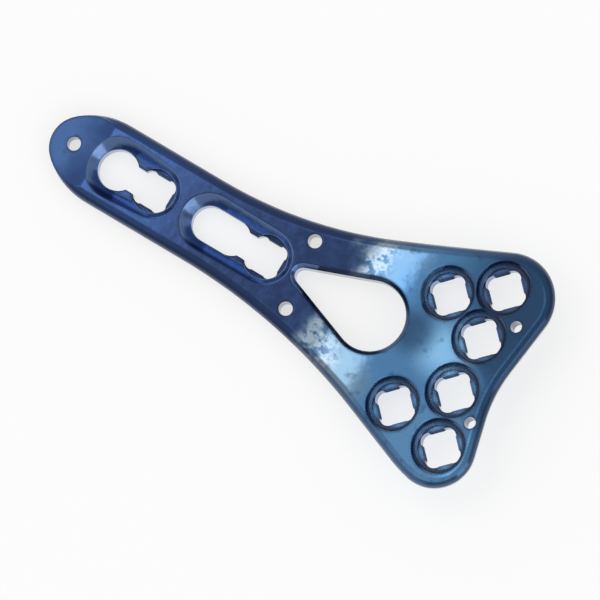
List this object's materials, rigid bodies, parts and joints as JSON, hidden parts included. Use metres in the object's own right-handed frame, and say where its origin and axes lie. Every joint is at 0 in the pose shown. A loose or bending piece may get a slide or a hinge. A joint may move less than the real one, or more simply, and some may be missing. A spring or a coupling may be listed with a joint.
{
  "type": "orthopedic bone plate",
  "caption": "Small metal bone plate for the wrist end of the forearm: flat shaft, upward bend and wide head, with locking screw holes, slots and a pear-shaped window.",
  "frame": {"origin": "under the middle of the plate's box, at the height of the shaft's flat bone face", "axes": "+X from the shaft's nose to the head's far edge, +Z from the bone face to the outer face, +Y to the side of the head's rounder corner"},
  "size_m": [0.045, 0.021, 0.0066],
  "materials": {
    "volar_plate": "blue anodised titanium, polished"
  },
  "bodies": {
    "root": {"volar_plate": "volar_plate"}
  },
  "joints": []
}
